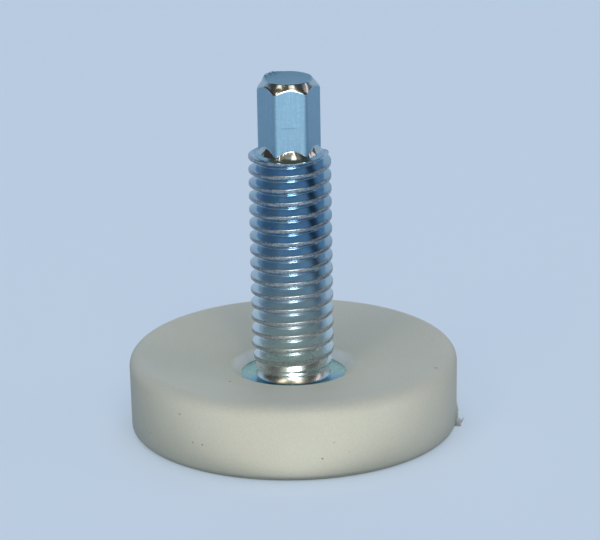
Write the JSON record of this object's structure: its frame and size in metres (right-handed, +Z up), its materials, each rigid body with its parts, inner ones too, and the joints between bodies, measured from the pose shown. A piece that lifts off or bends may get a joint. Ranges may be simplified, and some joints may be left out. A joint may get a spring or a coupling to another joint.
{
  "type": "leveling foot",
  "caption": "Adjustable leveling foot: a threaded steel stud with a hexagonal drive end, swivelling in a dished round plastic pad.",
  "frame": {"origin": "on the floor, under the middle of the pad and on the axis of the stud", "axes": "+Z up along the stud towards its hexagonal end; +X towards the side of the pad with the broken gate; -Y is the front"},
  "size_m": [0.0382, 0.0374, 0.0414],
  "materials": {
    "pad_plastic": "moulded ivory plastic, satin",
    "zinc_plate": "bright zinc plating over rolled steel"
  },
  "bodies": {
    "pad": {"pad": "pad_plastic"},
    "stud": {"stud": "zinc_plate"}
  },
  "joints": [
    {"name": "stud_swivel", "type": "hinge", "parent": "pad", "child": "stud", "pos_m": [0, 0, 0.00525], "axis": [0, 0, 1], "continuous": true}
  ]
}
